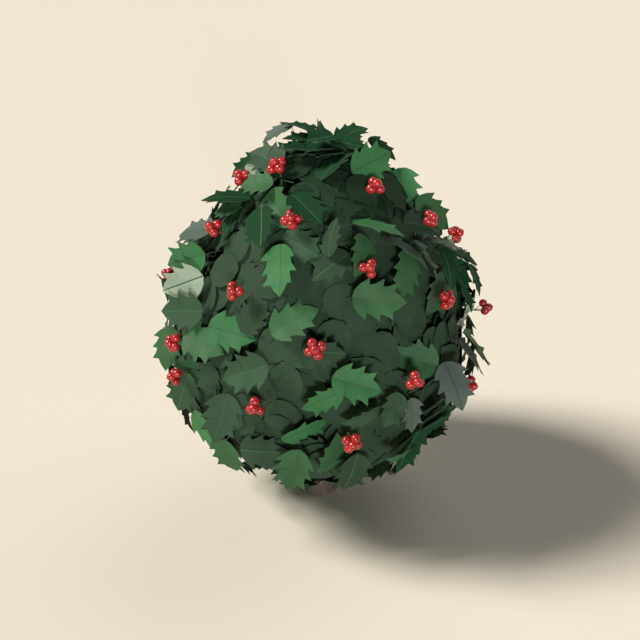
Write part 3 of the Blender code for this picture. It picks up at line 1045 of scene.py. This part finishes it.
class Canopy:
    """The leaves that stand out so far, and the room that is left for others."""

    def __init__(self, crown, shapes, clusters):
        self.crown, self.shapes, self.clusters = crown, shapes, clusters
        self.leaves, self.surfaces = [], []

    def corners(self, leaf):
        matrix = leaf_matrix(leaf)
        return [matrix @ Vector(corner) for corner in self.shapes[leaf.kind].corners]

    def surface(self, leaf, points):
        return BVHTree.FromPolygons(points, self.shapes[leaf.kind].faces)

    def takes(self, leaf, strict=True, beyond=BEYOND):
        """Adds a leaf that keeps to the crown's reach, cuts no other and covers no berries."""
        points = self.corners(leaf)
        if not all(self.crown.reaches(point, self.crown.layer + beyond) for point in points):
            return False
        surface = self.surface(leaf, points)
        near = [spot for spot in self.clusters if (spot - leaf.base).length < NEAR]
        if strict and any(touches(surface, spot, BERRY_ROOM) for spot in near):
            return False
        if self.crossed(leaf, surface):
            return False
        self.leaves.append(leaf)
        self.surfaces.append(surface)
        return True

    def crossed(self, leaf, surface):
        """Whether a leaf's surface cuts one that stands out."""
        middle = leaf.base + leaf.along * leaf.length / 2
        return any(
            (one.base + one.along * one.length / 2 - middle).length < LEAF_REACH
            and surface.overlap(other)
            for one, other in zip(self.leaves, self.surfaces)
        )

    def hides(self, leaf, swell):
        """Whether a leaf stays behind this depth, cuts none that stand out and bares the stem."""
        points = self.corners(leaf)
        if not all(self.crown.reaches(point, swell) for point in points):
            return False
        if any(p.z < CONE_HEIGHT + CONE_SLOPE * math.hypot(p.x, p.y) for p in points):
            return False
        return not self.crossed(leaf, self.surface(leaf, points))

    def cleared(self, spot, berry):
        """A cluster's middle, moved out to where the fewest leaves cut its berries."""
        out, step = self.crown.way_out(spot), 0.003
        side = out.orthogonal().normalized() * berry * 1.3
        ring = [Matrix.Rotation(turn * math.pi / 4, 3, out) @ side for turn in range(8)]
        near = [s for one, s in zip(self.leaves, self.surfaces) if (one.base - spot).length < NEAR]

        def cuts(place):
            return sum(touches(s, place + way, berry * 1.15) for s in near for way in ring)

        return min((spot + out * step * number for number in range(8)), key=cuts)


def touches(surface, spot, room):
    """Whether a surface comes nearer to a spot than this room."""
    return surface.find_nearest(spot, room)[0] is not None


def leaves_in_view(canopy, view, rng):
    """The listed leaves, each tried at several depths until it crosses none before it."""
    crown = canopy.crown
    for xb, yb, xt, yt, width, tint in LEAVES_IN_VIEW:
        for lift in LIFTS:
            base = view.spot(crown, xb, yb, STALK_OUT + lift)
            tip = view.within(base, xt, yt, view.spot(crown, xt, yt, TIP_OUT + lift), LONGEST)
            along = (tip - base).normalized()
            size = min(LONGEST, max(SHORTEST, (tip - base).length))
            toward = (view.place - base).normalized()
            flat = along.cross(toward).cross(along).normalized()
            tilt = math.acos(min(1, width))
            ways = [Matrix.Rotation(way * tilt, 3, along) @ flat for way in (1, -1)]
            facing = max(ways, key=crown.way_out(base).dot)
            leaf = Leaf(tip - along * size, along, facing, size, rng.choice(OUTER_KINDS), tint)
            if canopy.takes(leaf, strict=lift < HIGH_LIFT, beyond=LISTED_BEYOND):
                break


def leaves_on_twigs(canopy, twigs, view, sizes, rng):
    """Leaves that stand out of the side that the picture doesn't show, a few on each twig."""
    crown = canopy.crown
    outline = egg_surface(crown, OUTLINE_SWELL)
    names, weights = zip(*COLOURS.items())
    for twig in twigs:
        tip = twig.points[-1]
        if crown.way_out(tip).dot(view.forward) < RIM:
            continue
        tint = rng.choices(names, weights)[0]
        for number in range(OUTER_LEAVES):
            for _ in range(OUTER_TRIES):
                turn = number * GOLDEN_ANGLE + rng.uniform(-0.7, 0.7)
                base = crown.point(*crown.angles(tip), rng.uniform(0.010, 0.032))
                rise, tilt = math.radians(rng.uniform(-6, 26)), math.radians(rng.gauss(0, 26))
                size = sizes.outer_length * rng.uniform(0.88, 1.08)
                kind = rng.choice(OUTER_KINDS)
                leaf = leaf_from(crown, base, turn, rise, tilt, size, kind, tint)
                leaf = leaf._replace(base=base + leaf.along * PETIOLE)
                end = leaf.base + leaf.along * leaf.length
                unseen = all(view.covered(outline, point) for point in canopy.corners(leaf))
                beyond = crown.way_out(end).dot(view.forward) > RIM
                if unseen and beyond and canopy.takes(leaf):
                    break
            tint = rng.choices((tint, *names), (3 * sum(weights), *weights))[0]


def leaves_behind(canopy, twigs, sizes, rng):
    """The closed layer: leaves that turn round each tip, lie along the crown and cut no other."""
    crown, leaves = canopy.crown, []
    for twig in twigs:
        azimuth, latitude = crown.angles(twig.points[-1])
        start = rng.uniform(0, 2 * math.pi)
        # Painted shade: on top the closed layer takes the darker deep colour
        highest, tint = TOP_LAYER if latitude > PAINTED_SHADE_ABOVE else SIDE_LAYER
        for number in range(LAYER_LEAVES):
            for attempt in range(LAYER_TRIES):
                swell = highest - LAYER_STEP * (number + attempt) + rng.uniform(-0.003, 0.003)
                base = crown.point(azimuth, latitude, swell)
                rise, tilt = math.radians(rng.uniform(-12, -6)), math.radians(rng.gauss(0, 4))
                turn = start + number * GOLDEN_ANGLE + rng.uniform(-0.5, 0.5)
                size = sizes.middle_length * rng.uniform(0.9, 1.1)
                kind = rng.choice(MIDDLE_KINDS)
                leaf = leaf_from(crown, base, turn, rise, tilt, size, kind, tint)
                if canopy.hides(leaf, highest + LAYER_RISE):
                    leaves.append(leaf)
                    break
    return leaves


def leaves_inside(canopy, twigs, sizes, rng):
    """Leaves further down the twigs, so that no sky shows through the crown's middle."""
    leaves = []
    for twig in twigs:
        for number in range(INNER_LEAVES):
            for _ in range(INNER_TRIES):
                knot = twig.points[rng.randrange(len(twig.points) // 2, len(twig.points))]
                turn, rise = number * GOLDEN_ANGLE + rng.uniform(0, 1), rng.uniform(-0.6, 0.15)
                kind, tilt = rng.choice(INNER_KINDS), rng.gauss(0, 0.3)
                size = sizes.inner_length * rng.uniform(0.85, 1.1)
                # The deep colour darkens these inner leaves as painted shade
                leaf = leaf_from(canopy.crown, knot, turn, rise, tilt, size, kind, "deep")
                if canopy.hides(leaf, -INSIDE_DEPTH):
                    leaves.append(leaf)
                    break
    return leaves


def forks(twigs):
    """The points of the twigs that something can grow from, past their first steps."""
    return [point for twig in twigs for point in twig.points[3:]]


def grow_shoots(crown, leaves, twigs):
    """A fine shoot from the nearest twig to the foot of each leaf that stands out."""
    knots = forks(twigs)
    places = np.array([tuple(point) for point in knots])
    shoots = []
    for leaf in leaves:
        apart = np.linalg.norm(places - np.array(leaf.base), axis=1)
        root = knots[int(apart.argmin())]
        out = crown.way_out(leaf.base)
        end = leaf.base + leaf.along * leaf.length * 0.04
        knee = leaf.base - leaf.along * 0.006 - out * 0.045
        shoots.append(tapering(bent(root, knee, end, 5), *SHOOT_RADII))
    return shoots


def growth():
    """The tree's growth for the sizes that the scene has now."""
    scene, values = bpy.context.scene, []
    for name, group in GROUPS.items():
        for key in group.__annotations__:
            value = getattr(getattr(scene, name), key)
            values.append(tuple(value) if hasattr(value, "__len__") else value)
    return grown(tuple(values))


@functools.lru_cache(maxsize=1)
def grown(_values):
    """The whole growth from the scene's sizes, kept until one of their values changes."""
    scene = bpy.context.scene
    crown, rng = Crown(scene.holly_crown), random.Random(7)
    boughs, masses = grow_boughs(crown, scene.holly_wood)
    twigs = grow_twigs(crown, masses)
    twigs += grow_side_twigs(crown, twigs, rng)
    sizes, view = scene.holly_leaves, View(scene.holly_view)
    clusters = berry_clusters(crown, view, scene.holly_berries.far_clusters, rng)
    canopy = Canopy(crown, leaf_shapes(), clusters)
    leaves_in_view(canopy, view, rng)
    leaves_on_twigs(canopy, twigs, view, sizes, rng)
    shoots = grow_shoots(crown, canopy.leaves, twigs)
    clusters = [canopy.cleared(spot, scene.holly_berries.radius) for spot in clusters]
    leaves = [*canopy.leaves, *leaves_behind(canopy, twigs, sizes, rng)]
    leaves += leaves_inside(canopy, twigs, sizes, rng)
    return Growth(crown, boughs, masses, twigs, shoots, leaves, clusters)


# Operators


class HOLLY_OT_trunk(bpy.types.Operator):
    """Add the barked trunk with its root flare"""

    bl_idname = "holly.trunk"
    bl_label = "Trunk"

    def execute(self, context):
        wood, crown = context.scene.holly_wood, growth().crown
        steps, crowding = 150, 1.25
        heights = [crown.trunk_top * (n / steps) ** crowding for n in range(steps + 1)]
        points = [trunk_axis(crown, height) for height in heights]
        radii = tuple(trunk_radius(crown, wood, height) for height in heights)
        bark = bark_material("bark_of_trunk", wood.bark_light, wood.bark, wood.bark_dark)
        mesh = wood_mesh("trunk_bark", [Limb(points, radii)], 14, bark)
        furrow(mesh, wood.relief, lobe_depth=0.004)
        add_piece("trunk_bark", mesh, "bark", "trunk")
        return {"FINISHED"}


class HOLLY_OT_boughs(bpy.types.Operator):
    """Add the boughs, and the stems that carry on from them into the foliage"""

    bl_idname = "holly.boughs"
    bl_label = "Boughs"

    def execute(self, context):
        wood, tree = context.scene.holly_wood, growth()
        bark = bark_material("bark_of_boughs", wood.bark_light, wood.bark, wood.bark_dark)
        mesh = wood_mesh("bough_bark", tree.boughs, 5, bark)
        furrow(mesh, wood.relief * 0.6)
        names = [bough.name for bough in tree.boughs]
        add_piece("bough_bark", mesh, "bark", *names)
        stems = []
        for mass in tree.masses:
            knee = mass.foot.lerp(mass.heart, 0.5) + UP * 0.012
            points = bent(mass.foot, knee, mass.heart, 8)
            stems.append(tapering(points, mass.stem_radius, STEM_TIP_RADIUS))
        mesh = wood_mesh("stem_bark", stems, 3, bark)
        furrow(mesh, wood.relief * 0.4)
        add_piece("stem_bark", mesh, "bark")
        return {"FINISHED"}


class HOLLY_OT_twigs(bpy.types.Operator):
    """Add the twigs and the fine shoots that carry the leaves"""

    bl_idname = "holly.twigs"
    bl_label = "Twigs"

    def execute(self, context):
        wood, tree = context.scene.holly_wood, growth()
        green = twig_material("twig_skin", scaled(wood.twig, 0.8), scaled(wood.bark, 0.45))
        add_piece("twigs", wood_mesh("twigs", tree.twigs, 2, green), "bark")
        young = twig_material("shoot_skin", wood.twig, scaled(wood.twig, 0.7))
        add_piece("shoots", wood_mesh("shoots", tree.shoots, 0, young), "bark")
        return {"FINISHED"}


class HOLLY_OT_leaves(bpy.types.Operator):
    """Add the leaves, one piece for each colour, in place of the masses of foliage"""

    bl_idname = "holly.leaves"
    bl_label = "Leaves"

    def execute(self, context):
        sizes, tree, shapes = context.scene.holly_leaves, growth(), leaf_shapes()
        under = plain_leaf_material("leaf_underside", sizes.underside, 0.62)
        rib = plain_leaf_material("leaf_midrib", sizes.rib, 0.6)
        masses = [mass.name for mass in tree.masses]
        for name in (*COLOURS, *DEPTHS):
            tint = tuple(getattr(sizes, name))
            own = [(leaf_matrix(leaf), leaf.kind) for leaf in tree.leaves if leaf.colour == name]
            if not own:
                raise RuntimeError(f"no {name} leaves grew")
            dim = name == "dark" or name in DEPTHS
            top = blade_material(f"leaf_{name}", tint, *(0.80, 0.08) if dim else (0.60, 0.18))
            back = top if name in DEPTHS else under
            mesh = repeated(f"leaves_{name}", shapes, own, [top, back, rib])
            add_piece(f"leaves_{name}", mesh, "foliage", *(masses if name == "bright" else ()))
        return {"FINISHED"}


class HOLLY_OT_berries(bpy.types.Operator):
    """Add the clusters of berries and their stalks"""

    bl_idname = "holly.berries"
    bl_label = "Berries"

    def execute(self, context):
        sizes, tree, rng = context.scene.holly_berries, growth(), random.Random(11)
        knots, berries, stalks = forks(tree.twigs), [], []
        for spot in tree.clusters:
            out = tree.crown.way_out(spot)
            side = out.orthogonal().normalized()
            root = spot - out * sizes.radius * 2.6
            start = rng.uniform(0, 2 * math.pi)
            count = rng.choice((4, 4, 5, 5))
            for number in range(count):
                turn = start + number * 2 * math.pi / (count - 1)
                level = Matrix.Rotation(turn, 3, out) @ side
                # The last berry sits on the ring of the others
                on_top = number == count - 1
                ring = 0 if on_top else sizes.radius * (1.05 + 0.15 * (count - 3))
                lift = sizes.radius * (0.9 if on_top else rng.uniform(-0.35, 0.15))
                middle = spot + level * ring + out * lift
                turn = turned((middle - root).normalized(), "Z")
                size = Matrix.Scale(rng.uniform(0.96, 1.12), 4)
                berries.append((Matrix.Translation(middle) @ turn @ size, 0))
                # A hair apart, so that no two stalks share a corner
                fork = root + level * 0.0006
                points = [fork, fork.lerp(middle, 0.5), middle]
                stalks.append(Limb(points, BERRY_STALK_RADII))
            deep = spot - out * 0.06
            knot = min(knots, key=lambda point: (point - deep).length)
            stalks.append(tapering(bent(knot, deep, root, 5), *CLUSTER_STEM_RADII))
        skin = berry_material("berry_skin", tuple(sizes.red))
        dot = plain_material("berry_dot", (0.02, 0.012, 0.01), 0.8)
        mesh = repeated("berries", [berry_shape(sizes.radius)], berries, [skin, dot])
        add_piece("berries", mesh, "foliage")
        stalk = plain_material("berry_stalk", tuple(sizes.stalk), 0.7)
        add_piece("berry_stalks", wood_mesh("berry_stalks", stalks, 0, stalk), "foliage")
        return {"FINISHED"}


class HOLLY_OT_stage(bpy.types.Operator):
    """Add the pale floor, the soft light and the camera"""

    bl_idname = "holly.stage"
    bl_label = "Stage"

    def execute(self, context):
        scene, sizes = context.scene, context.scene.holly_view
        mesh = bpy.data.meshes.new("floor")
        with edited(mesh) as bm:
            bmesh.ops.create_grid(bm, x_segments=4, y_segments=4, size=30)
        paint = Shader("floor_paint").finish(base_color=tuple(sizes.floor), roughness=0.9)
        mesh.materials.append(paint)
        floor = placed("floor", mesh)
        view = View(sizes)
        optics = bpy.data.cameras.new("camera")
        optics.lens = sizes.lens
        optics.sensor_width = sizes.sensor
        camera = placed("camera", optics)
        camera.matrix_world = Matrix.Translation(view.place) @ turned(view.forward, "-Z")
        scene.camera = camera
        # Each light's strength, its softness in degrees, the way it shines and its tint
        for name, energy, softness, way, tint in (
            ("key", 4.35, 20, (0.79, 0.02, -0.77), (1.0, 0.965, 0.91)),
            ("back_fill", 1.28, 80, (-0.55, -0.64, -0.48), (1.0, 0.98, 0.96)),
            ("front_fill", 3.55, 12, (-0.10, 0.99, -0.01), (0.98, 0.98, 1.0)),
        ):
            sun = bpy.data.lights.new(name, "SUN")
            sun.energy, sun.angle, sun.color = energy, math.radians(softness), tint
            placed(name, sun).matrix_world = turned(Vector(way), "-Z")
        world = bpy.data.worlds.new("studio")
        world.use_nodes = True
        sky = world.node_tree.nodes["Background"]
        sky.inputs["Color"].default_value = (0.96, 0.97, 1.0, 1)
        sky.inputs["Strength"].default_value = 0.010
        scene.world = world
        scene.view_settings.view_transform = "Standard"
        return {"FINISHED"}


OPERATORS = (
    HOLLY_OT_trunk,
    HOLLY_OT_boughs,
    HOLLY_OT_twigs,
    HOLLY_OT_leaves,
    HOLLY_OT_berries,
    HOLLY_OT_stage,
)
GROUPS = {
    "holly_crown": CrownSizes,
    "holly_wood": WoodSizes,
    "holly_leaves": LeafSizes,
    "holly_berries": BerrySizes,
    "holly_view": ViewSizes,
}


class HOLLY_PT_panel(bpy.types.Panel):
    """Sizes and steps of the holly tree"""

    bl_label = "Holly tree"
    bl_idname = "HOLLY_PT_panel"
    bl_space_type = "VIEW_3D"
    bl_region_type = "UI"
    bl_category = "Holly"

    def draw(self, context):
        for operator in OPERATORS:
            self.layout.operator(operator.bl_idname)
        for name, group in GROUPS.items():
            box = self.layout.box()
            for key in group.__annotations__:
                box.prop(getattr(context.scene, name), key)


def register():
    for group in GROUPS.values():
        bpy.utils.register_class(group)
    for operator in (*OPERATORS, HOLLY_PT_panel):
        bpy.utils.register_class(operator)
    for name, group in GROUPS.items():
        setattr(bpy.types.Scene, name, PointerProperty(type=group))


def unregister():
    for name in GROUPS:
        delattr(bpy.types.Scene, name)
    for cls in (HOLLY_PT_panel, *reversed(OPERATORS), *reversed(GROUPS.values())):
        bpy.utils.unregister_class(cls)


def main():
    register()
    for operator in OPERATORS:
        step = getattr(bpy.ops.holly, operator.bl_idname.split(".")[1])
        step()


if __name__ == "__main__":
    main()
